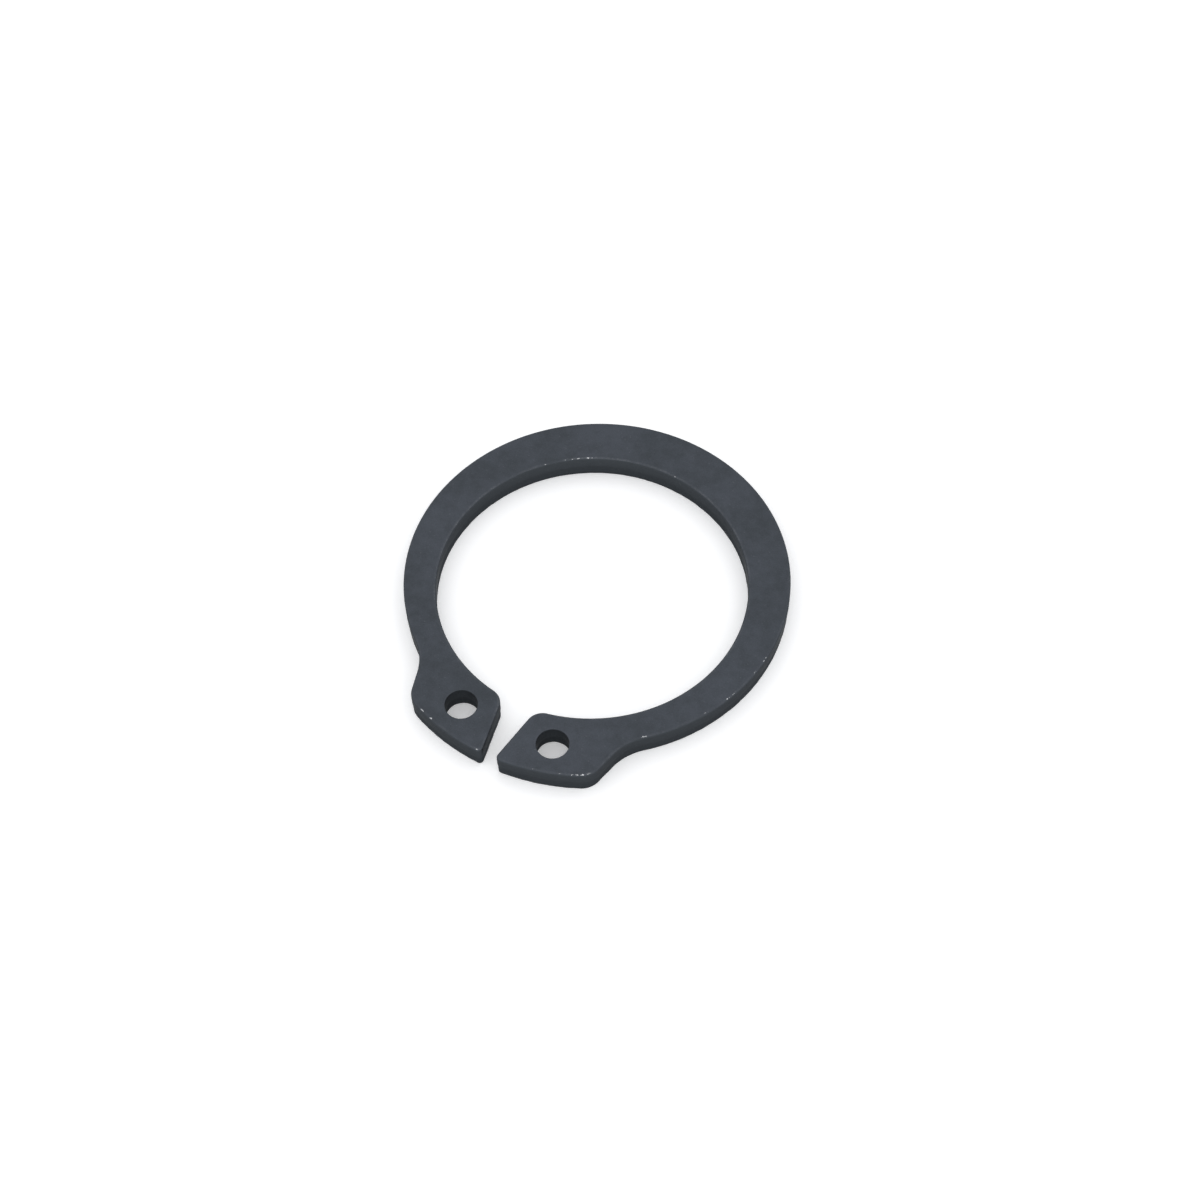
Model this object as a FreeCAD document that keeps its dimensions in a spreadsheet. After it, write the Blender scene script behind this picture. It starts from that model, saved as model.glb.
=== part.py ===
import FreeCAD, Part
import math
import os
import Sketcher

# External retaining ring for a half inch shaft, stamped from flat spring steel.
# Millimetres and degrees. The shaft's axis is Z, the ring lies on z = 0 and its gap opens toward -Y.

# Driving dimensions
SIZES = {
    # Inside diameter with the ring relaxed
    "bore_diameter": 11.62,
    "plate_thickness": 0.98,
    # The band is widest opposite the gap and narrows toward the lugs
    "band_width_back": 1.81,
    "band_width_front": 1.01,
    # Across the gap at its outer end, and how far each face of it leans from the centre line
    "gap_width": 0.58,
    "gap_flare_angle": 9.5,
    # From the inside diameter out to the lugs' rim
    "lug_height": 2.40,
    # From the gap's face across to the lug's flank, both at their outer ends
    "lug_width": 3.50,
    "lug_flank_angle": 14.0,
    # Round corners of the outline
    "gap_inner_corner": 0.64,
    "gap_outer_corner": 0.18,
    "lug_shoulder_corner": 0.85,
    "lug_root_fillet": 2.20,
    # Pliers' holes, midway up the lugs: the diameter, and the centre's place across from the gap's face
    "plier_hole_diameter": 1.18,
    "plier_hole_inset": 1.56,
    # Edges after stamping and tumbling
    "upper_edge_radius": 0.10,
    "lower_edge_radius": 0.05,
}
ANGLES = ("gap_flare_angle", "lug_flank_angle")

ORIGIN = FreeCAD.Vector(0, 0, 0)
UPWARD = FreeCAD.Vector(0, 0, 1)
# How a sketch numbers its axes, the two ends and the centre of a curve, and its origin
Y_AXIS, X_AXIS = range(-2, 0)
START, END, CENTRE = range(1, 4)
ROOT_POINT = (X_AXIS, START)


def make_sheet(doc):
    """The spreadsheet that holds every driving dimension under its own alias."""
    sheet = doc.addObject("Spreadsheet::Sheet", "Sizes")
    for row, name in enumerate(SIZES, start=1):
        sheet.set("A%d" % row, name)
        sheet.set("B%d" % row, str(SIZES[name]))
        sheet.set("C%d" % row, "degrees" if name in ANGLES else "millimetres")
        sheet.setAlias("B%d" % row, name)
    doc.recompute()
    return sheet


def new_sketch(body, name):
    """A sketch on the plane that the ring lies on."""
    sketch = body.newObject("Sketcher::SketchObject", name)
    plane = [feature for feature in body.Origin.OriginFeatures if feature.Role == "XY_Plane"][0]
    sketch.AttachmentSupport = [(plane, "")]
    sketch.MapMode = "FlatFace"
    return sketch


def slanted(angle):
    """Unit vectors along a line that leans by angle from +Y toward +X, and square to it on its +X side."""
    lean = math.radians(angle)
    along = FreeCAD.Vector(math.sin(lean), math.cos(lean), 0)
    across = FreeCAD.Vector(math.cos(lean), -math.sin(lean), 0)
    return along, across


def up_the_line(start, along, hub, reach):
    """The first point met from start along a line whose distance from the hub is reach."""
    ray = start - hub
    run = ray.dot(along)
    return start + along * (-run - math.sqrt(run * run - ray.dot(ray) + reach * reach))


def on_circle(hub, radius, other):
    """The point of the circle of this radius round the hub that lies in the direction of the other point."""
    ray = other - hub
    return hub + ray * (radius / ray.Length)


def mirrored(point):
    """The same place on the other side of the centre line."""
    return FreeCAD.Vector(-point.x, point.y, 0)


def arc_of(centre, start, end):
    """The arc round centre, counterclockwise from start to end."""
    circle = Part.Circle(centre, UPWARD, (start - centre).Length)
    first = math.atan2(start.y - centre.y, start.x - centre.x)
    last = math.atan2(end.y - centre.y, end.x - centre.x)
    if last < first:
        last += 2 * math.pi
    return Part.ArcOfCircle(circle, first, last)


def right_lug_points():
    """Ends and centres of the curves on the +X side, from the bore round the lug to the band's outer edge."""
    bore = SIZES["bore_diameter"] / 2
    rim = bore + SIZES["lug_height"]
    band = bore + (SIZES["band_width_back"] + SIZES["band_width_front"]) / 2
    half_gap = SIZES["gap_width"] / 2
    at = {"hub": FreeCAD.Vector(0, (SIZES["band_width_back"] - SIZES["band_width_front"]) / 2, 0)}

    # The gap's face, the corner that it makes with the rim, and the one that it makes with the bore
    corner = SIZES["gap_outer_corner"]
    along, across = slanted(SIZES["gap_flare_angle"])
    corner_x = half_gap + across.x * corner
    at["outer_corner"] = FreeCAD.Vector(corner_x, -math.sqrt((rim - corner) ** 2 - corner_x ** 2), 0)
    at["rim_in"] = on_circle(ORIGIN, rim, at["outer_corner"])
    at["face_out"] = at["outer_corner"] - across * corner
    corner = SIZES["gap_inner_corner"]
    at["inner_corner"] = up_the_line(at["face_out"] + across * corner, along, ORIGIN, bore + corner)
    at["face_in"] = at["inner_corner"] - across * corner
    at["bore_end"] = on_circle(ORIGIN, bore, at["inner_corner"])

    # The lug's flank, the shoulder where it leaves the rim, and the root where it runs into the band
    corner = SIZES["lug_shoulder_corner"]
    along, across = slanted(SIZES["lug_flank_angle"])
    corner_x = half_gap + SIZES["lug_width"] - across.x * corner
    at["shoulder"] = FreeCAD.Vector(corner_x, -math.sqrt((rim - corner) ** 2 - corner_x ** 2), 0)
    at["rim_out"] = on_circle(ORIGIN, rim, at["shoulder"])
    at["flank_out"] = at["shoulder"] + across * corner
    corner = SIZES["lug_root_fillet"]
    at["root"] = up_the_line(at["flank_out"] + across * corner, along, at["hub"], band + corner)
    at["flank_in"] = at["root"] - across * corner
    at["band_end"] = on_circle(at["hub"], band, at["root"])
    return at


def bind(sketch, constraint, name, expression):
    """Add a dimension to the sketch and tie it to the spreadsheet."""
    number = sketch.addConstraint(constraint)
    sketch.renameConstraint(number, name)
    sketch.setExpression("Constraints." + name, expression)


def bind_radius(sketch, curve, name, expression):
    """The radius of an arc or a circle."""
    bind(sketch, Sketcher.Constraint("Radius", curve, sketch.Geometry[curve].Radius), name, expression)


def bind_across(sketch, first, second, name, expression):
    """The distance along X from the first point to the second."""
    span = sketch.getPoint(*second).x - sketch.getPoint(*first).x
    bind(sketch, Sketcher.Constraint("DistanceX", *first, *second, span), name, expression)


def bind_lean(sketch, line, name, expression):
    """The angle of a line, counterclockwise from the X axis."""
    run = sketch.getPoint(line, END) - sketch.getPoint(line, START)
    bind(sketch, Sketcher.Constraint("Angle", line, math.atan2(run.y, run.x)), name, expression)


def draw_lug(sketch, bore, band, mirror):
    """One lug's share of the outline, from the bore to the band: the one at +X, or its mirror image at -X."""
    at = right_lug_points()
    if mirror:
        at = {name: mirrored(point) for name, point in at.items()}
    # Arcs run counterclockwise, so the mirror image swaps the end near the bore or gap with the other end
    leading, trailing = (END, START) if mirror else (START, END)

    def arc(centre, first, last):
        start, end = (last, first) if mirror else (first, last)
        return sketch.addGeometry(arc_of(centre, at[start], at[end]))

    lug = {
        "inner": arc(at["inner_corner"], "bore_end", "face_in"),
        "face": sketch.addGeometry(Part.LineSegment(at["face_out"], at["face_in"])),
        "outer": arc(at["outer_corner"], "face_out", "rim_in"),
        "rim": arc(ORIGIN, "rim_in", "rim_out"),
        "shoulder": arc(at["shoulder"], "rim_out", "flank_out"),
        "flank": sketch.addGeometry(Part.LineSegment(at["flank_out"], at["flank_in"])),
        "root": arc(at["root"], "band_end", "flank_in"),
    }
    joints = [
        (lug["inner"], leading, bore, leading),
        (lug["face"], END, lug["inner"], trailing),
        (lug["outer"], leading, lug["face"], START),
        (lug["rim"], leading, lug["outer"], trailing),
        (lug["shoulder"], leading, lug["rim"], trailing),
        (lug["flank"], START, lug["shoulder"], trailing),
        (lug["root"], trailing, lug["flank"], END),
        (band, leading, lug["root"], leading),
    ]
    for joint in joints:
        sketch.addConstraint(Sketcher.Constraint("Tangent", *joint))
    sketch.addConstraint(Sketcher.Constraint("Coincident", lug["rim"], CENTRE, *ROOT_POINT))
    return lug


def add_outline(body):
    """The blank's outline, one closed chain of arcs and lines that are each tangent to the next."""
    sketch = new_sketch(body, "BlankOutline")
    at = right_lug_points()
    bore = sketch.addGeometry(arc_of(ORIGIN, at["bore_end"], mirrored(at["bore_end"])))
    band = sketch.addGeometry(arc_of(at["hub"], at["band_end"], mirrored(at["band_end"])))
    right = draw_lug(sketch, bore, band, mirror=False)
    left = draw_lug(sketch, bore, band, mirror=True)
    sketch.addConstraint(Sketcher.Constraint("Coincident", bore, CENTRE, *ROOT_POINT))
    sketch.addConstraint(Sketcher.Constraint("PointOnObject", band, CENTRE, Y_AXIS))
    for curve in ("inner", "outer", "rim", "shoulder", "root"):
        sketch.addConstraint(Sketcher.Constraint("Equal", right[curve], left[curve]))

    bind_radius(sketch, bore, "bore_radius", "Sizes.bore_diameter / 2")
    bind_radius(sketch, band, "band_radius",
                "Sizes.bore_diameter / 2 + (Sizes.band_width_back + Sizes.band_width_front) / 2")
    bind_radius(sketch, right["rim"], "rim_radius", "Sizes.bore_diameter / 2 + Sizes.lug_height")
    bind_radius(sketch, right["inner"], "inner_corner_radius", "Sizes.gap_inner_corner")
    bind_radius(sketch, right["outer"], "outer_corner_radius", "Sizes.gap_outer_corner")
    bind_radius(sketch, right["shoulder"], "shoulder_radius", "Sizes.lug_shoulder_corner")
    bind_radius(sketch, right["root"], "root_radius", "Sizes.lug_root_fillet")
    bind(sketch, Sketcher.Constraint("DistanceY", *ROOT_POINT, band, CENTRE, at["hub"].y), "hub_offset",
         "(Sizes.band_width_back - Sizes.band_width_front) / 2")
    bind_across(sketch, ROOT_POINT, (right["face"], START), "half_gap_right", "Sizes.gap_width / 2")
    bind_across(sketch, (left["face"], START), ROOT_POINT, "half_gap_left", "Sizes.gap_width / 2")
    bind_across(sketch, (right["face"], START), (right["flank"], START), "lug_right", "Sizes.lug_width")
    bind_across(sketch, (left["flank"], START), (left["face"], START), "lug_left", "Sizes.lug_width")
    bind_lean(sketch, right["face"], "gap_face_right", "(90 - Sizes.gap_flare_angle) * 1 deg")
    bind_lean(sketch, left["face"], "gap_face_left", "(90 + Sizes.gap_flare_angle) * 1 deg")
    bind_lean(sketch, right["flank"], "flank_right", "(90 - Sizes.lug_flank_angle) * 1 deg")
    bind_lean(sketch, left["flank"], "flank_left", "(90 + Sizes.lug_flank_angle) * 1 deg")
    return sketch


def add_plier_holes(body):
    """The two round holes that the pliers' tips enter, one through each lug."""
    sketch = new_sketch(body, "PlierHoles")
    radius = SIZES["plier_hole_diameter"] / 2
    reach = (SIZES["bore_diameter"] + SIZES["lug_height"]) / 2
    inset = SIZES["gap_width"] / 2 + SIZES["plier_hole_inset"]
    right_place = FreeCAD.Vector(inset, -math.sqrt(reach ** 2 - inset ** 2), 0)
    right = sketch.addGeometry(Part.Circle(right_place, UPWARD, radius))
    left = sketch.addGeometry(Part.Circle(mirrored(right_place), UPWARD, radius))
    sketch.addConstraint(Sketcher.Constraint("Equal", right, left))
    sketch.addConstraint(Sketcher.Constraint("Symmetric", right, CENTRE, left, CENTRE, Y_AXIS))
    bind_radius(sketch, right, "hole_radius", "Sizes.plier_hole_diameter / 2")
    bind_across(sketch, ROOT_POINT, (right, CENTRE), "hole_inset", "Sizes.gap_width / 2 + Sizes.plier_hole_inset")
    bind(sketch, Sketcher.Constraint("Distance", *ROOT_POINT, right, CENTRE, reach), "hole_reach",
         "(Sizes.bore_diameter + Sizes.lug_height) / 2")
    return sketch


def flat_face(shape, height):
    """The name of the flat face that lies level at this height."""
    for number, face in enumerate(shape.Faces, start=1):
        box = face.BoundBox
        if isinstance(face.Surface, Part.Plane) and box.ZLength < 1e-6 and abs(box.ZMin - height) < 1e-6:
            return "Face%d" % number
    raise ValueError("no flat face at height %g" % height)


def add_round(body, name, height, alias):
    """Round every edge of the flat face at this height."""
    base = body.Tip
    feature = body.newObject("PartDesign::Fillet", name)
    feature.Base = (base, [flat_face(base.Shape, height)])
    feature.setExpression("Radius", "Sizes." + alias)
    base.Document.recompute()
    return feature


def make_ring(doc):
    """The retaining ring: the blank, its two holes, and its softened edges."""
    body = doc.addObject("PartDesign::Body", "RetainingRing")
    body.Label = "retaining_ring"
    body.Placement = FreeCAD.Placement()
    outline = add_outline(body)
    blank = body.newObject("PartDesign::Pad", "Blank")
    blank.Profile = outline
    blank.setExpression("Length", "Sizes.plate_thickness")
    doc.recompute()
    holes = add_plier_holes(body)
    pierced = body.newObject("PartDesign::Pocket", "Pierced")
    pierced.Profile = holes
    # The sketch lies on the underside, so the cut runs up through the plate
    pierced.Reversed = True
    pierced.setExpression("Length", "Sizes.plate_thickness")
    doc.recompute()
    hole_volume = 2 * math.pi * (SIZES["plier_hole_diameter"] / 2) ** 2 * SIZES["plate_thickness"]
    removed = blank.Shape.Volume - pierced.Shape.Volume
    if abs(removed - hole_volume) > 0.001 * hole_volume:
        raise ValueError("the holes took %g cubic millimetres, not %g" % (removed, hole_volume))
    add_round(body, "UpperEdges", SIZES["plate_thickness"], "upper_edge_radius")
    add_round(body, "LowerEdges", ORIGIN.z, "lower_edge_radius")
    return body


def check(doc, bodies):
    """Stop where a feature failed or a sub-part is not one valid solid."""
    for item in doc.Objects:
        if "Invalid" in item.State or "Error" in item.State:
            raise ValueError("%s failed: %s" % (item.Name, item.State))
        if item.isDerivedFrom("Sketcher::SketchObject") and item.solve() != 0:
            raise ValueError("%s has no solution" % item.Name)
    for body in bodies:
        if body.Shape.isNull() or not body.Shape.isValid() or len(body.Shape.Solids) != 1:
            raise ValueError("%s is not one valid solid" % body.Label)


def main():
    doc = FreeCAD.newDocument("RetainingRing")
    make_sheet(doc)
    bodies = [make_ring(doc)]
    doc.recompute()
    check(doc, bodies)
    os.makedirs("parts", exist_ok=True)
    for body in bodies:
        body.Shape.exportStep("parts/%s.step" % body.Label)
        box = body.Shape.optimalBoundingBox(False, False)
        print("%s: %.2f x %.2f x %.2f mm, %.2f cubic millimetres" %
              (body.Label, box.XLength, box.YLength, box.ZLength, body.Shape.Volume))


main()
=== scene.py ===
import math

import bpy
import numpy as np
from bpy.props import FloatProperty, FloatVectorProperty, PointerProperty
from mathutils import Matrix, Vector


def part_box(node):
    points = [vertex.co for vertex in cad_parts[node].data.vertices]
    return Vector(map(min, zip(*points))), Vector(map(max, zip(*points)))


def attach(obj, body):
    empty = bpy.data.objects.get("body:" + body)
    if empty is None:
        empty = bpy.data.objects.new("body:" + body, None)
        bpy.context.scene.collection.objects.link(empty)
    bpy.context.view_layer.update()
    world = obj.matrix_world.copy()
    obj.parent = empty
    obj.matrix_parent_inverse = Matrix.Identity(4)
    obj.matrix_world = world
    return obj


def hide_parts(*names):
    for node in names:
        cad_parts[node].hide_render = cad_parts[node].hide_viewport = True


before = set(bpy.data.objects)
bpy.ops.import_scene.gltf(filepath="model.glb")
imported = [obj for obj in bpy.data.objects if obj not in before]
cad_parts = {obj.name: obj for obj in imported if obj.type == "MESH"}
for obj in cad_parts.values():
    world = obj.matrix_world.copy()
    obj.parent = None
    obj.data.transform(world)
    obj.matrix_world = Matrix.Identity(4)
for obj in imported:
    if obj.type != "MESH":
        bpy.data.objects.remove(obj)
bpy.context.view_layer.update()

# Retaining ring of blackened spring steel, lying flat on a white table.
# Lengths are metres, written as millimetres times MM. The shaft's axis is Z and the gap opens toward -Y.

bl_info = {
    "name": "Retaining ring",
    "version": (1, 0, 0),
    "blender": (4, 5, 0),
    "location": "View3D > Sidebar > Ring",
    "description": "Builds a stamped retaining ring of blackened spring steel and the table it lies on",
    "category": "Object",
}

MM = 0.001
MICRON = 0.000001

CAD_NODE = "retaining_ring"
LOWEST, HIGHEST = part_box(CAD_NODE)
THICKNESS = HIGHEST[2] - LOWEST[2]

# Mesh steps: along each lug's outline, along the band, across the band, from a lug's edge to its hole
LUG_STEPS = 250
BAND_STEPS = 400
BAND_ROWS = 18
LUG_ROWS = 14
# Mesh steps down the edge: rolled upper edge, smooth land, torn part, lower round
ROLL_STEPS = 9
LAND_STEPS = 3
TORN_STEPS = 6
LOWER_STEPS = 3
# Points of each arc or line before it is spread along the outline
RUN_POINTS = 160
# The length that a radian of turning counts as
TURN_LENGTH = 0.3 * MM
# Points nearer than this are one
WELD = 0.00001 * MM
# How far inside the solid's own edge the edge drawn here lies
SET_IN = 2 * MICRON
# Plane waves that make up a ripple, and the shares of its wavelength that they lie between
WAVES = 24
SHORTEST_WAVE = 0.7
LONGEST_WAVE = 1.4
# Columns of each point's marks: how worn its upper corner is and how much painted highlight it carries there,
# how upright and how torn its edge is, then its outward normal's x and y
RUBBED_AND_HIGHLIGHT = 0
UPRIGHT = 1
TORN = 2
NORMAL = 3
MARKS = 5

# Ripples, each a wavelength and a seed: how the line where the tearing starts wanders, how deep the torn part
# is, how deep the nicks are, how the faces wave, and where the painted highlight on the corners, drawn as
# thin coat, is strong
TEAR_SWEEP = (1.7 * MM, 3)
TEAR_WOBBLE = (0.5 * MM, 4)
TEAR_GRAIN = (0.42 * MM, 5)
NICK_GRAIN = (0.25 * MM, 6)
FACE_WAVES = (3.0 * MM, 7)
WEAR_AND_HIGHLIGHT_PATCHES = (1.4 * MM, 8)
WEAR_AND_HIGHLIGHT_FLECKS = (0.3 * MM, 9)

# How far the tearing's line wanders with its sweep and its wobble, and how far from it a row still follows it
SWEEP_HEIGHT = 0.05 * MM
WOBBLE_HEIGHT = 0.02 * MM
FOLLOW_HEIGHT = 0.16 * MM
# How far below its line the tearing has half begun, the height over which it begins, and its mean roughness
TEAR_DROP = 0.03 * MM
TEAR_FADE = 0.02 * MM
TEAR_ROUGHNESS = 0.005 * MM
# As shares of the roll's depth: how far down the corner is worn most and carries the most painted highlight,
# how far down it has half turned upright, and the height over which it turns
RUBBED_DROP = 0.2
UPRIGHT_DROP = 0.5
UPRIGHT_FADE = 0.12
# A nick goes in and down by this share of its depth, along the corner's diagonal
DIAGONAL = 0.7
# How strong the painted highlight on a corner is, drawn as coat that the tumbling thinned, and how much more
# or less where it faces in or out
CORNER_WEAR_AND_HIGHLIGHT = 0.70
INNER_WEAR_AND_HIGHLIGHT = 0.30

# Patterns of the coat and of the bare steel, and of the painted glints and painted highlight line, as repeats
# in a millimetre
CLOUDS = 0.4
BLOTCHES = 2.2
STREAKS = 16.0
CRYSTALS = 24.0
GRAINS = 15.0
PAINTED_GLINTS = 14.0
# How often the streaks repeat down the edge, as a share of how often they repeat along it
STREAK_DRAW = 0.08
# Sockets of a Mix node for colours: its share, its two colours and its result
SHARE = 0
FIRST = 6
SECOND = 7
MIXED = 2

# The table's side, and the nearest and farthest that the camera sees
TABLE_SIDE = 3.0
NEAREST = MM
FARTHEST = 10.0
# Width of the camera's frame in millimetres
FRAME_WIDTH = 36.0

# Bright worn places on the upper corner: x, y and reach in millimetres
WORN_CORNERS = [
    (-3.00, -7.59, 0.13),
    (-2.55, -7.76, 0.13),
    (-0.43, -8.16, 0.12),
    (1.69, -7.99, 0.11),
    (2.64, -7.73, 0.12),
    (3.04, -7.57, 0.10),
    (3.22, -7.50, 0.10),
    (3.40, -7.42, 0.13),
    (3.57, -7.31, 0.20),
    (4.64, -5.09, 0.26),
    (6.22, -3.22, 0.16),
    (6.66, -2.32, 0.10),
    (6.76, -2.07, 0.12),
    (7.09, -0.88, 0.12),
    (7.20, -0.30, 0.16),
    (7.20, -0.12, 0.12),
    (-4.10, 4.17, 0.10),
    (-3.53, 4.67, 0.14),
    (-3.29, 4.84, 0.14),
    (-3.10, 4.96, 0.11),
    (-2.78, 5.14, 0.10),
    (-2.62, 5.22, 0.11),
    (0.58, 5.82, 0.12),
]


def linear(code):
    """The linear red, green, blue and alpha of an sRGB colour written as #RRGGBB."""
    parts = [int(code[place:place + 2], 16) / 255 for place in (1, 3, 5)]
    return [part / 12.92 if part <= 0.04045 else ((part + 0.055) / 1.055) ** 2.4 for part in parts] + [1.0]


def length(name, description, millimetres):
    """A length that the user can change."""
    return FloatProperty(name=name, description=description, default=millimetres * MM, unit="LENGTH",
                         precision=6)


def angle(name, description, degrees):
    """An angle that the user can change."""
    return FloatProperty(name=name, description=description, default=math.radians(degrees), subtype="ANGLE")


def colour(name, description, code):
    """A colour that the user can change."""
    return FloatVectorProperty(name=name, description=description, default=linear(code), size=4,
                               subtype="COLOR", min=0.0, max=1.0)


class RingSizes(bpy.types.PropertyGroup):
    """The ring's outline and the shape of its stamped edge."""

    bore_diameter: length("Bore", "Inside diameter with the ring relaxed", 11.62)
    band_width_back: length("Band at the back", "Width of the band opposite the gap", 1.81)
    band_width_front: length("Band at the front", "Width that the band narrows toward at the gap", 1.01)
    gap_width: length("Gap", "Across the gap at its outer end", 0.58)
    gap_flare_angle: angle("Gap flare", "How far each face of the gap leans from the centre line", 9.5)
    lug_height: length("Lug height", "From the bore out to the lugs' rim", 2.40)
    lug_width: length("Lug width", "From the gap's face to the flank, at their outer ends", 3.50)
    lug_flank_angle: angle("Flank lean", "How far each lug's flank leans from the centre line", 14.0)
    gap_inner_corner: length("Inner corner", "Round corner between the gap and the bore", 0.64)
    gap_outer_corner: length("Outer corner", "Round corner between the gap and the rim", 0.18)
    lug_shoulder_corner: length("Shoulder", "Round corner between the rim and the flank", 0.85)
    lug_root_fillet: length("Root", "Hollow where the flank runs into the band", 2.20)
    plier_hole_diameter: length("Pliers' hole", "Diameter of the hole in each lug", 1.18)
    plier_hole_inset: length("Hole inset", "From the gap's face across to the hole's centre", 1.56)
    roll_width: length("Roll width", "How far in the upper face starts to roll over", 0.11)
    roll_depth: length("Roll depth", "How far down the rolled upper edge reaches", 0.08)
    torn_height: length("Torn height", "Height above which the edge is sheared smooth", 0.50)
    torn_depth: length("Torn depth", "How far the torn part of the edge lies in", 0.018)
    lower_round: length("Lower round", "Round of the lower edge", 0.05)
    dishing: length("Waviness", "How far the faces dip in places", 0.004)
    hole_sharpness: FloatProperty(name="Hole edges", description="Roll at the holes' edges, as a share",
                                  default=0.35, subtype="FACTOR")
    nick_depth: length("Nicks", "How deep the worn places are pressed in", 0.016)


class RingFinish(bpy.types.PropertyGroup):
    """The colours of the blackened steel and of the table."""

    coat_dark: colour("Coat, dark", "Where the black phosphate is thick", "#45494E")
    coat_pale: colour("Coat, pale", "Where the black phosphate is thin", "#4F535A")
    # Painted shade: the darker coat on the upright edges and the holes' walls
    edge_coat_painted_shade: colour("Coat, edge", "On the smooth upper part of the stamped edge", "#414549")
    # Rough torn steel's coat, darker also as painted shade
    torn_coat_and_painted_shade: colour("Coat, torn edge", "On the rough lower part of the stamped edge", "#3E4246")
    coat_glance: colour("Coat, glancing", "Light that the coat keeps where it is seen edge on", "#BCBCBC")
    bare_steel: colour("Bare steel", "Where the coat is rubbed off", "#D4D5D7")
    table: colour("Table", "The table that the ring lies on", "#F8F8F9")
    sky: colour("Sky", "The even light from all round", "#FDFEFF")


class StageSettings(bpy.types.PropertyGroup):
    """Where the camera and the lamp stand."""

    azimuth: angle("Azimuth", "Camera's bearing from -Y toward +X", 28.03)
    elevation: angle("Elevation", "Camera's height above the table, as an angle", 56.26)
    roll: angle("Roll", "Turn of the camera about its line of sight", -1.57)
    distance: length("Distance", "From the camera to the point it looks at", 82.6)
    aim_x: length("Aim along X", "How far to +X of the shaft's axis the camera looks", 0.30)
    aim_y: length("Aim along Y", "How far to +Y of the shaft's axis the camera looks", 0.03)
    lens: FloatProperty(name="Lens", description="Focal length on a 36 mm frame", default=66.0, unit="CAMERA")
    lamp_distance: length("Lamp distance", "From the ring to the soft lamp", 300.0)
    lamp_size: length("Lamp size", "Side of the soft lamp", 170.0)
    lamp_elevation: angle("Lamp elevation", "The lamp's height above the table, as an angle", 50.0)
    lamp_power: FloatProperty(name="Lamp power", description="Output of the soft lamp", default=0.035,
                              unit="POWER")
    sky_strength: FloatProperty(name="Sky strength", description="Strength of the even light", default=1.0,
                                subtype="FACTOR")
    table_glow: FloatProperty(name="Table glow", description="Light that the camera sees added to the table",
                              default=0.255, subtype="FACTOR")


def rays(angles):
    """Unit vectors at these angles, counterclockwise from +X."""
    return np.stack([np.cos(angles), np.sin(angles)], axis=-1)


def slanted(lean):
    """Unit vectors along a line that leans from +Y toward +X, and square to it on its +X side."""
    return np.array([math.sin(lean), math.cos(lean)]), np.array([math.cos(lean), -math.sin(lean)])


def gap_side(x, radius):
    """The point on the gap's side of the ring, at this x and this distance from the shaft's axis."""
    return np.array([x, -math.sqrt(radius ** 2 - x ** 2)])


def on_circle(hub, radius, other):
    """The point of the circle of this radius round the hub that lies in the direction of the other point."""
    return hub + (other - hub) * (radius / np.linalg.norm(other - hub))


def up_the_line(start, along, hub, reach):
    """The first point met from start along a line whose distance from the hub is reach."""
    run = np.dot(start - hub, along)
    rest = np.dot(start - hub, start - hub)
    return start + along * (-run - math.sqrt(run * run - rest + reach * reach))


def arc_run(centre, first, last, hollow=False):
    """Places and outward normals on the short arc from first to last: centre + radius (cos a, sin a)."""
    (first_x, first_y), (last_x, last_y) = first - centre, last - centre
    ends = np.unwrap([math.atan2(first_y, first_x), math.atan2(last_y, last_x)])
    ray = rays(np.linspace(ends[0], ends[1], RUN_POINTS))
    return centre + math.hypot(first_x, first_y) * ray, -ray if hollow else ray


def line_run(first, last, normal):
    """Places and outward normals on the straight line from first to last."""
    share = np.linspace(0, 1, RUN_POINTS)[:, None]
    return first + share * (last - first), np.tile(normal, (RUN_POINTS, 1))


def lug_run(size):
    """Places and outward normals round the +X lug: bore, gap's face, rim, flank and root, up to the band."""
    middle = np.zeros(2)
    bore = size.bore_diameter / 2
    rim = bore + size.lug_height
    band, hub = band_circle(size)
    half_gap = size.gap_width / 2

    corner = size.gap_outer_corner
    along, face_normal = slanted(size.gap_flare_angle)
    outer_corner = gap_side(half_gap + face_normal[0] * corner, rim - corner)
    rim_in = on_circle(middle, rim, outer_corner)
    face_out = outer_corner - face_normal * corner
    corner = size.gap_inner_corner
    inner_corner = up_the_line(face_out + face_normal * corner, along, middle, bore + corner)
    face_in = inner_corner - face_normal * corner
    bore_end = on_circle(middle, bore, inner_corner)

    corner = size.lug_shoulder_corner
    along, flank_normal = slanted(size.lug_flank_angle)
    shoulder = gap_side(half_gap + size.lug_width - flank_normal[0] * corner, rim - corner)
    rim_out = on_circle(middle, rim, shoulder)
    flank_out = shoulder + flank_normal * corner
    corner = size.lug_root_fillet
    root = up_the_line(flank_out + flank_normal * corner, along, hub, band + corner)
    flank_in = root - flank_normal * corner
    band_end = on_circle(hub, band, root)

    runs = [
        arc_run(middle, on_circle(middle, bore, band_end), bore_end, hollow=True),
        arc_run(inner_corner, bore_end, face_in),
        line_run(face_in, face_out, -face_normal),
        arc_run(outer_corner, face_out, rim_in),
        arc_run(middle, rim_in, rim_out),
        arc_run(shoulder, rim_out, flank_out),
        line_run(flank_out, flank_in, flank_normal),
        arc_run(root, flank_in, band_end, hollow=True),
    ]
    # Each run starts where the last one ended, so its last point is dropped except at the very end
    places = np.concatenate([run[0][:-1] for run in runs] + [runs[-1][0][-1:]])
    normals = np.concatenate([run[1][:-1] for run in runs] + [runs[-1][1][-1:]])
    return places, normals


def band_circle(size):
    """Radius and centre of the band's outer edge."""
    radius = (size.bore_diameter + size.band_width_back + size.band_width_front) / 2
    return radius, np.array([0.0, (size.band_width_back - size.band_width_front) / 2])


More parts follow.
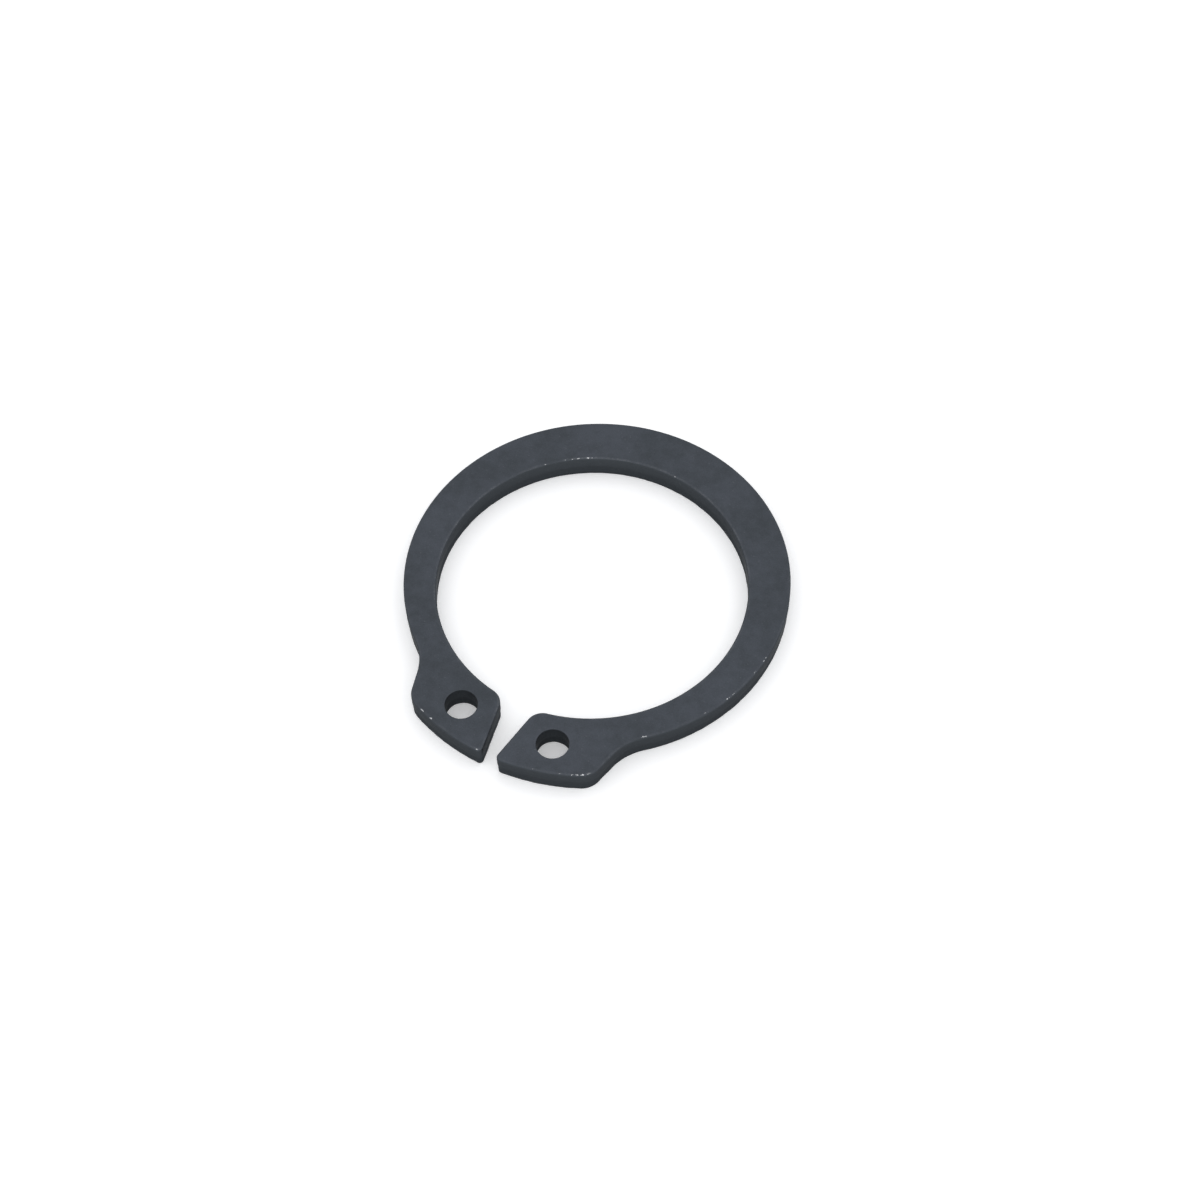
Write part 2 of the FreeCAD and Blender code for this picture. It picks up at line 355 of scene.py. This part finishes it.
def spread(places, normals, count):
    """The run again with count even steps, of length plus TURN_LENGTH for each radian that it turns."""
    step = np.linalg.norm(np.diff(places, axis=0), axis=1)
    turn = np.arccos(np.clip(np.sum(normals[1:] * normals[:-1], axis=1), -1, 1))
    reach = np.concatenate([[0], np.cumsum(step + TURN_LENGTH * turn)])
    wanted = np.linspace(0, reach[-1], count + 1)
    places = np.stack([np.interp(wanted, reach, column) for column in places.T], axis=1)
    normals = np.stack([np.interp(wanted, reach, column) for column in normals.T], axis=1)
    return places, normals / np.linalg.norm(normals, axis=1, keepdims=True)


def ring_outline(size):
    """The closed outline, counterclockwise: +X lug, outer edge of the band, -X lug, bore."""
    lug, lug_normals = spread(*lug_run(size), LUG_STEPS)
    mirror = np.array([-1, 1])
    band, hub = band_circle(size)
    start = math.atan2(*(lug[-1] - hub)[::-1])
    outer = rays(np.linspace(start, math.pi - start, BAND_STEPS + 1))[1:]
    start = math.atan2(*lug[0][::-1])
    inner = rays(np.linspace(math.pi - start, start, BAND_STEPS + 1))[1:-1]
    other = (lug * mirror)[::-1][1:]
    other_normals = (lug_normals * mirror)[::-1][1:]
    places = np.concatenate([lug, hub + band * outer, other, size.bore_diameter / 2 * inner])
    normals = np.concatenate([lug_normals, outer, other_normals, -inner])
    return places, normals


def ripple(places, wavelength, seed):
    """Sum of plane waves over x and y, each sin(2 pi along / wavelength + phase), mostly between -1 and 1.

    Each has a heading and a phase of its own, and a length somewhat under or over the wavelength given.
    """
    random = np.random.default_rng(seed)
    heading = rays(random.uniform(0, 2 * math.pi, WAVES))
    wavelengths = wavelength * random.uniform(SHORTEST_WAVE, LONGEST_WAVE, WAVES)
    phase = random.uniform(0, 2 * math.pi, WAVES)
    waves = np.sin(2 * math.pi * (places[..., :2] @ heading.T) / wavelengths + phase)
    return waves.sum(axis=-1) / math.sqrt(2 * WAVES)


def below(height, level, fade):
    """0 well above the level and 1 well below it: 1 / (1 + exp((height - level) / fade))."""
    return 1 / (1 + np.exp((height - level) / fade))


def edge_profile(size, roll_share):
    """Each row's inset and height down the stamped edge, how worn its corner is and how much painted
    highlight it carries, and how upright or torn it is.

    The upper edge is a quarter ellipse, the land is upright, the torn part steps in by 1 - exp(-4 share), and
    a quarter circle ends it.
    """
    width = size.roll_width * roll_share
    depth = size.roll_depth * roll_share
    turn = np.linspace(0, math.pi / 2, ROLL_STEPS + 1)
    roll_inset = width * (1 - np.sin(turn))
    roll_height = THICKNESS - depth * (1 - np.cos(turn))
    land_height = np.linspace(THICKNESS - depth, size.torn_height, LAND_STEPS + 1)[1:]
    torn_height = np.linspace(size.torn_height, size.lower_round, TORN_STEPS + 1)[1:]
    share = np.linspace(0, 1, TORN_STEPS + 1)[1:]
    torn_inset = size.torn_depth * (1 - np.exp(-4 * share))
    turn = np.linspace(0, math.pi / 2, LOWER_STEPS + 1)[1:]
    lower_inset = torn_inset[-1] + size.lower_round * (1 - np.cos(turn))
    lower_height = size.lower_round * (1 - np.sin(turn))
    inset = SET_IN + np.concatenate([roll_inset, np.zeros(LAND_STEPS), torn_inset, lower_inset])
    height = np.concatenate([roll_height, land_height, torn_height, lower_height])
    drop = RUBBED_DROP * depth
    # Where the upper corner is worn, and where its painted highlight line is drawn
    rubbed = np.exp(-((height - THICKNESS + drop) / drop) ** 2) * roll_share
    rubbed[0] = 0
    # Upright rows get the darker edge coat, which is painted shade
    upright = below(height, THICKNESS - UPRIGHT_DROP * depth, UPRIGHT_FADE * depth)
    upright[-1] = 0
    torn = below(height, size.torn_height - TEAR_DROP, TEAR_FADE)
    torn[-1] = 0
    return inset, height, rubbed, upright, torn


def quads(count, rows, closed, turned):
    """Corner numbers of a grid's faces, joined up the first way where closed and wound back where turned."""
    number = np.arange(count * rows).reshape(count, rows)
    ahead = np.roll(number, -1, axis=0)
    if not closed:
        number = number[:-1]
        ahead = ahead[:-1]
    faces = np.stack([number[:, :-1], ahead[:, :-1], ahead[:, 1:], number[:, 1:]], axis=-1).reshape(-1, 4)
    return faces[:, ::-1] if turned else faces


def stamped_edge(places, normals, size, roll_share, turned):
    """The edge profile carried along a closed outline: place - inset x normal, at each row's height.

    The line where the tearing starts wanders up and down, and the torn part's depth varies along the outline.
    """
    inset, height, rubbed, upright, torn = edge_profile(size, roll_share)
    wander = SWEEP_HEIGHT * ripple(places, *TEAR_SWEEP) + WOBBLE_HEIGHT * ripple(places, *TEAR_WOBBLE)
    near_line = np.exp(-((height - size.torn_height) / FOLLOW_HEIGHT) ** 2)
    near_line[:ROLL_STEPS + 1] = 0
    near_line[-1] = 0
    roughness = TEAR_ROUGHNESS * (1 + np.clip(ripple(places, *TEAR_GRAIN), -1, 1))
    depth = inset + torn * roughness[:, None]
    points = np.empty((len(places), len(height), 3))
    points[..., :2] = places[:, None] - depth[..., None] * normals[:, None]
    points[..., 2] = height + wander[:, None] * near_line
    marks = np.zeros((len(places), len(height), MARKS))
    marks[..., RUBBED_AND_HIGHLIGHT] = rubbed
    marks[..., UPRIGHT] = upright
    marks[..., TORN] = torn
    marks[:, 1:-1, NORMAL:] = normals[:, None]
    return points, marks, quads(len(places), len(height), True, turned)


def between(first, last, rows):
    """A grid of straight rows: (1 - share) x first + share x last."""
    share = np.linspace(0, 1, rows + 1)[:, None]
    return first[:, None] * (1 - share) + last[:, None] * share


def plain(points, closed, turned):
    """A flat face's grid, with no marks of its own."""
    return points, np.zeros(points.shape[:2] + (MARKS,)), quads(*points.shape[:2], closed, turned)


def lug_loop(rim, side):
    """The closed loop round one lug's flat face: its part of the rim, then a straight cut across the band.

    The +X lug's where side is 1, and the other's where it is -1.
    """
    first = 0 if side > 0 else LUG_STEPS + BAND_STEPS
    path = rim[np.arange(first, first + LUG_STEPS + 1) % len(rim)]
    return np.concatenate([path, between(path[-1:], path[:1], BAND_ROWS)[0, 1:-1]])


def flat_side(rim, holes, upper):
    """One flat side: straight rows across the band, and straight rows from each lug's edge to its hole."""
    along = np.arange(BAND_STEPS + 1)
    band = between(rim[(len(rim) - along) % len(rim)], rim[LUG_STEPS + along], BAND_ROWS)
    surfaces = [plain(band, False, upper)]
    for side, hole in zip((1, -1), holes):
        surfaces.append(plain(between(lug_loop(rim, side), hole, LUG_ROWS), True, not upper))
    return surfaces


def ring_surfaces(size):
    """Every surface of the ring: the outline's edge, the two holes' edges, and both flat sides."""
    outline = stamped_edge(*ring_outline(size), size, 1.0, True)
    rim = outline[0]
    reach = (size.bore_diameter + size.lug_height) / 2
    inset = size.gap_width / 2 + size.plier_hole_inset
    walls = []
    for side in (1, -1):
        centre = gap_side(side * inset, reach)
        ray = lug_loop(rim[:, 0, :2], side) - centre
        ray /= np.linalg.norm(ray, axis=1, keepdims=True)
        edge = centre + size.plier_hole_diameter / 2 * ray
        walls.append(stamped_edge(edge, -ray, size, size.hole_sharpness, False))
    holes = [wall[0] for wall in walls]
    upper = flat_side(rim[:, 0], [hole[:, 0] for hole in holes], True)
    lower = flat_side(rim[:, -1], [hole[:, -1] for hole in holes], False)
    return [outline] + walls + upper + lower


def weld(surfaces):
    """The surfaces' points, marks and faces as one mesh, with the points that coincide merged."""
    grids, grid_marks, grid_faces = zip(*surfaces)
    points = np.concatenate([grid.reshape(-1, 3) for grid in grids])
    marks = np.concatenate([grid.reshape(-1, MARKS) for grid in grid_marks])
    starts = np.cumsum([0] + [grid[..., 0].size for grid in grids[:-1]])
    faces = np.concatenate([corners + start for corners, start in zip(grid_faces, starts)])
    _, first, number = np.unique(np.round(points / WELD), axis=0, return_index=True, return_inverse=True)
    return points[first], marks[first], number.reshape(-1)[faces]


def wear_down(points, marks, size):
    """Press the worn places in by depth x (1 - (distance / reach)^2)^2 and let both faces dip.

    Returns how worn each point is, and how strong the painted highlight on its corner is, drawn as coat that
    the tumbling has thinned.
    """
    outward = marks[:, NORMAL:]
    corner = np.zeros(len(points))
    for x, y, reach in WORN_CORNERS:
        apart = np.hypot(points[:, 0] - x * MM, points[:, 1] - y * MM)
        corner = np.maximum(corner, 1 - (apart / (reach * MM)) ** 2)
    worn = corner * marks[:, RUBBED_AND_HIGHLIGHT]
    pressed = size.nick_depth * worn ** 2 * np.clip(0.8 + 0.4 * ripple(points, *NICK_GRAIN), 0, None)
    points[:, :2] -= DIAGONAL * pressed[:, None] * outward
    points[:, 2] -= DIAGONAL * pressed
    dip = size.dishing * np.clip(0.5 + 0.5 * ripple(points, *FACE_WAVES), 0, 1)
    points[:, 2] += dip * (1 - 2 * points[:, 2] / THICKNESS) ** 3
    patchy = 0.55 + 0.4 * ripple(points, *WEAR_AND_HIGHLIGHT_PATCHES) + 0.2 * ripple(points, *WEAR_AND_HIGHLIGHT_FLECKS)
    # A corner that faces the shaft's axis gets two and a half times as much painted highlight as one that
    # faces away
    facing = np.sum(points[:, :2] * outward, axis=1) / np.linalg.norm(points[:, :2], axis=1)
    return worn, marks[:, RUBBED_AND_HIGHLIGHT] * np.clip(patchy, 0, 1) * (CORNER_WEAR_AND_HIGHLIGHT - INNER_WEAR_AND_HIGHLIGHT * facing)


def make_piece(name, points, faces, **attributes):
    """A smooth mesh object of these points and faces, with each attribute's value at each point."""
    mesh = bpy.data.meshes.new(name)
    mesh.from_pydata(points.tolist(), [], faces.tolist())
    mesh.shade_smooth()
    for attribute, values in attributes.items():
        layer = mesh.attributes.new(attribute, "FLOAT", "POINT")
        layer.data.foreach_set("value", values.astype(np.float32))
    mesh.validate()
    piece = bpy.data.objects.new(name, mesh)
    bpy.context.scene.collection.objects.link(piece)
    return piece


def add_node(tree, kind, inputs=None, output=0, **settings):
    """Add a shader node with its settings, set or link its inputs, and return one of its outputs, if any."""
    node = tree.nodes.new("ShaderNode" + kind)
    for name, value in settings.items():
        setattr(node, name, value)
    for socket, value in (inputs or {}).items():
        if isinstance(value, bpy.types.NodeSocket):
            tree.links.new(value, node.inputs[socket])
        else:
            node.inputs[socket].default_value = value
    return node.outputs[output] if node.outputs else None


def new_material(name):
    """A material with no nodes yet, and its node tree."""
    material = bpy.data.materials.new(name)
    material.use_nodes = True
    material.node_tree.nodes.clear()
    return material, material.node_tree


# Spring steel, stamped, tumbled and dipped in black phosphate, then oiled: a dark satin grey with a cold
# cast, softly mottled, with a fine crystal grain, rough streaks on the torn part of the edge and bright steel
# where its corners wore. The upright edge is darker as painted shade, a thin painted highlight runs along the
# upper corner and small painted glints are scattered over it. The crystals are drawn about twice as coarse as
# real ones, which are too fine to show. The coat brightens less than clean metal does where it is seen edge
# on.
def black_phosphate_steel(finish):
    """The ring's material, with patterns in millimetres and bump heights in microns."""
    material, tree = new_material("black_phosphate_spring_steel")
    smooth = {"interpolation_type": "SMOOTHSTEP"}
    blend = {"output": MIXED, "data_type": "RGBA"}

    local = add_node(tree, "TexCoord", output="Object")
    place = add_node(tree, "Mapping", {"Vector": local, "Scale": (1 / MM,) * 3})
    down = add_node(tree, "Mapping", {"Vector": place, "Scale": (1, 1, STREAK_DRAW)})
    # How much painted highlight the upper corner carries
    rubbed = add_node(tree, "Attribute", output="Fac", attribute_name="rubbed")
    upright = add_node(tree, "Attribute", output="Fac", attribute_name="upright")
    torn = add_node(tree, "Attribute", output="Fac", attribute_name="torn")
    worn = add_node(tree, "Attribute", output="Fac", attribute_name="worn")

    # Cloudy thickness of the coat, over a few millimetres and over half a millimetre
    cloud = add_node(tree, "TexNoise", {"Vector": place, "Scale": CLOUDS, "Detail": 4.0, "Roughness": 0.55})
    blotch = add_node(tree, "TexNoise", {"Vector": place, "Scale": BLOTCHES, "Detail": 4.0,
                                         "Roughness": 0.6})
    cloud_share = add_node(tree, "Math", {0: cloud, 1: 0.55}, operation="MULTIPLY")
    mottle = add_node(tree, "Math", {0: blotch, 1: 0.45, 2: cloud_share}, operation="MULTIPLY_ADD")
    pale = add_node(tree, "MapRange", {"Value": mottle, "From Min": 0.32, "From Max": 0.68}, **smooth)
    coat = add_node(tree, "Mix", {SHARE: pale, FIRST: finish.coat_dark, SECOND: finish.coat_pale}, **blend)

    # The stamped edge, darker as painted shade, and streaked downward where the steel tore; the torn part is
    # darker still, partly as rough steel and partly as painted shade
    streak = add_node(tree, "TexNoise", {"Vector": down, "Scale": STREAKS, "Detail": 3.0, "Roughness": 0.6})
    coat = add_node(tree, "Mix", {SHARE: upright, FIRST: coat, SECOND: finish.edge_coat_painted_shade}, **blend)
    cover = add_node(tree, "MapRange", {"Value": streak, "From Min": 0.30, "From Max": 0.62, "To Min": 0.95,
                                        "To Max": 0.45}, **smooth)
    cover = add_node(tree, "Math", {0: torn, 1: cover}, operation="MULTIPLY")
    coat = add_node(tree, "Mix", {SHARE: cover, FIRST: coat, SECOND: finish.torn_coat_and_painted_shade}, **blend)

    # Crystals of the phosphate, lighter and darker by a twelfth
    crystal = add_node(tree, "TexNoise", {"Vector": place, "Scale": CRYSTALS, "Detail": 2.0})
    shade = add_node(tree, "MapRange", {"Value": crystal, "From Min": 0.3, "From Max": 0.7, "To Min": 0.92,
                                        "To Max": 1.08}, **smooth)
    coat = add_node(tree, "HueSaturation", {"Value": shade, "Color": coat})

    # Bare steel in the worn places; a thin broken painted highlight along the upper corner, drawn as bare
    # steel; and small painted glints scattered all over
    grain = add_node(tree, "TexNoise", {"Vector": place, "Scale": GRAINS, "Detail": 3.0, "Roughness": 0.6})
    broken = add_node(tree, "Math", {0: worn, 1: 0.40, 2: grain}, operation="MULTIPLY_ADD")
    bare = add_node(tree, "MapRange", {"Value": broken, "From Min": 0.79, "From Max": 0.93}, **smooth)
    glint_and_highlight_noise = add_node(tree, "TexNoise", {"Vector": place, "Scale": PAINTED_GLINTS, "Detail": 2.0,
                                          "Roughness": 0.6})
    painted_glint = add_node(tree, "MapRange", {"Value": glint_and_highlight_noise, "From Min": 0.66, "From Max": 0.76, "To Max": 0.06},
                     **smooth)
    line = add_node(tree, "MapRange", {"Value": glint_and_highlight_noise, "From Min": 0.3, "From Max": 0.7, "To Min": 0.01,
                                       "To Max": 0.09}, **smooth)
    # Painted highlight along the corner plus painted glints, as a share of bare steel
    thin = add_node(tree, "Math", {0: rubbed, 1: line, 2: painted_glint}, operation="MULTIPLY_ADD")
    steel = add_node(tree, "Math", {0: bare, 1: thin}, operation="MAXIMUM")
    surface = add_node(tree, "Mix", {SHARE: steel, FIRST: coat, SECOND: finish.bare_steel}, **blend)

    # Satin on the faces, duller where torn, glossier where bare
    satin = add_node(tree, "MapRange", {"Value": crystal, "From Min": 0.3, "From Max": 0.7, "To Min": 0.42,
                                        "To Max": 0.50}, **smooth)
    satin = add_node(tree, "Math", {0: torn, 1: 0.12, 2: satin}, operation="MULTIPLY_ADD")
    gloss = add_node(tree, "Math", {0: bare, 1: -0.14, 2: satin}, operation="MULTIPLY_ADD")
    tears = add_node(tree, "Math", {0: streak, 1: torn}, operation="MULTIPLY")
    relief = add_node(tree, "Math", {0: crystal, 1: 1.6}, operation="MULTIPLY")
    relief = add_node(tree, "Math", {0: blotch, 1: 5.0, 2: relief}, operation="MULTIPLY_ADD")
    relief = add_node(tree, "Math", {0: tears, 1: 9.0, 2: relief}, operation="MULTIPLY_ADD")
    bump = add_node(tree, "Bump", {"Height": relief, "Distance": MICRON, "Strength": 1.0})
    shader = add_node(tree, "BsdfPrincipled", {
        "Base Color": surface, "Metallic": 1.0, "Roughness": gloss, "Specular Tint": finish.coat_glance,
        "Normal": bump})
    add_node(tree, "OutputMaterial", {"Surface": shader})
    return material


def seen_rays(tree):
    """1 for rays from the camera, off metal or through glass, and 0 for the rays that light the ring."""
    ray = add_node(tree, "LightPath").node.outputs
    seen = add_node(tree, "Math", {0: ray["Is Camera Ray"], 1: ray["Is Glossy Ray"]}, operation="MAXIMUM")
    return add_node(tree, "Math", {0: seen, 1: ray["Is Transmission Ray"]}, operation="MAXIMUM")


# Matt white laminate: it looks pure white, and keeps the soft shadow close round the ring.
def white_table(finish, stage):
    """The table's material: matt white that looks a little brighter than it is lit."""
    material, tree = new_material("matt_white_laminate")
    matt = add_node(tree, "BsdfPrincipled", {"Base Color": finish.table, "Roughness": 0.9})
    strength = add_node(tree, "Math", {0: seen_rays(tree), 1: stage.table_glow}, operation="MULTIPLY")
    glow = add_node(tree, "Emission", {"Strength": strength})
    both = add_node(tree, "AddShader", {0: matt, 1: glow})
    add_node(tree, "OutputMaterial", {"Surface": both})
    return material


def toward(bearing, height):
    """The unit vector toward a bearing, counted from -Y toward +X, and an angular height above the table."""
    level = math.cos(height)
    return Vector((level * math.sin(bearing), -level * math.cos(bearing), math.sin(height)))


class RING_OT_build_ring(bpy.types.Operator):
    """Build the stamped ring with its lugs, holes, edges and worn places"""

    bl_idname = "ring.build_ring"
    bl_label = "Build ring"

    def execute(self, context):
        size = context.scene.ring_sizes
        points, marks, faces = weld(ring_surfaces(size))
        worn, rubbed = wear_down(points, marks, size)
        # The mesh carries the worn places, the painted highlight on the corners, and the upright and torn
        # marks
        piece = make_piece("blackened_ring", points, faces, worn=worn, rubbed=rubbed,
                           upright=marks[:, UPRIGHT], torn=marks[:, TORN])
        piece.data.materials.append(black_phosphate_steel(context.scene.ring_finish))
        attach(piece, "root")
        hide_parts(CAD_NODE)
        return {"FINISHED"}


class RING_OT_build_stage(bpy.types.Operator):
    """Lay the white table, and set up the sky, the soft lamp and the camera"""

    bl_idname = "ring.build_stage"
    bl_label = "Build stage"

    def execute(self, context):
        stage = context.scene.ring_stage
        self.lay_table(context)
        self.light(context, stage)
        self.aim_camera(context, stage)
        context.scene.view_settings.view_transform = "Standard"
        return {"FINISHED"}

    def lay_table(self, context):
        """A square sheet at the height that the ring rests on."""
        half = TABLE_SIDE / 2
        corners = np.array([[-half, -half], [half, -half], [half, half], [-half, half]])
        points = np.column_stack([corners, np.full(4, LOWEST[2])])
        table = make_piece("table", points, np.array([[0, 1, 2, 3]]))
        table.data.materials.append(white_table(context.scene.ring_finish, context.scene.ring_stage))

    def light(self, context, stage):
        """An even white sky, and one large soft lamp on the camera's side."""
        world = bpy.data.worlds.new("studio")
        world.use_nodes = True
        tree = world.node_tree
        tree.nodes.clear()
        seen = seen_rays(tree)
        strength = add_node(tree, "MapRange", {"Value": seen, "To Min": stage.sky_strength, "To Max": 1.0})
        sky = add_node(tree, "Background", {"Color": context.scene.ring_finish.sky, "Strength": strength})
        add_node(tree, "OutputWorld", {"Surface": sky})
        context.scene.world = world

        lamp = bpy.data.lights.new("soft_lamp", "AREA")
        lamp.shape = "SQUARE"
        lamp.size = stage.lamp_size
        lamp.energy = stage.lamp_power
        holder = bpy.data.objects.new("soft_lamp", lamp)
        back = toward(stage.azimuth, stage.lamp_elevation)
        holder.location = back * stage.lamp_distance
        holder.rotation_euler = back.to_track_quat("Z", "Y").to_euler()
        context.scene.collection.objects.link(holder)

    def aim_camera(self, context, stage):
        """The camera at the photograph's angle: back, right and up are its axes, turned by its roll."""
        back = toward(stage.azimuth, stage.elevation)
        right = Vector((math.cos(stage.azimuth), math.sin(stage.azimuth), 0.0))
        up = back.cross(right)
        turned_right = math.cos(stage.roll) * right + math.sin(stage.roll) * up
        turned_up = back.cross(turned_right)
        camera = bpy.data.cameras.new("camera")
        camera.sensor_width = FRAME_WIDTH
        camera.lens = stage.lens
        camera.clip_start = NEAREST
        camera.clip_end = FARTHEST
        holder = bpy.data.objects.new("camera", camera)
        place = Vector((stage.aim_x, stage.aim_y, 0.0)) + back * stage.distance
        columns = Matrix((turned_right, turned_up, back)).transposed()
        holder.matrix_world = Matrix.Translation(place) @ columns.to_4x4()
        context.scene.collection.objects.link(holder)
        context.scene.camera = holder


class RING_PT_panel(bpy.types.Panel):
    """Sizes, finish and stage of the retaining ring"""

    bl_idname = "RING_PT_panel"
    bl_label = "Retaining ring"
    bl_space_type = "VIEW_3D"
    bl_region_type = "UI"
    bl_category = "Ring"

    def draw(self, context):
        for group in (context.scene.ring_sizes, context.scene.ring_finish, context.scene.ring_stage):
            box = self.layout.box()
            for name in group.bl_rna.properties.keys():
                if name not in ("name", "rna_type"):
                    box.prop(group, name)
        self.layout.operator(RING_OT_build_ring.bl_idname)
        self.layout.operator(RING_OT_build_stage.bl_idname)


CLASSES = (RingSizes, RingFinish, StageSettings, RING_OT_build_ring, RING_OT_build_stage, RING_PT_panel)


def register():
    for item in CLASSES:
        bpy.utils.register_class(item)
    bpy.types.Scene.ring_sizes = PointerProperty(type=RingSizes)
    bpy.types.Scene.ring_finish = PointerProperty(type=RingFinish)
    bpy.types.Scene.ring_stage = PointerProperty(type=StageSettings)


def unregister():
    del bpy.types.Scene.ring_stage
    del bpy.types.Scene.ring_finish
    del bpy.types.Scene.ring_sizes
    for item in reversed(CLASSES):
        bpy.utils.unregister_class(item)


def main():
    register()
    bpy.ops.ring.build_ring()
    bpy.ops.ring.build_stage()


if __name__ == "__main__":
    main()
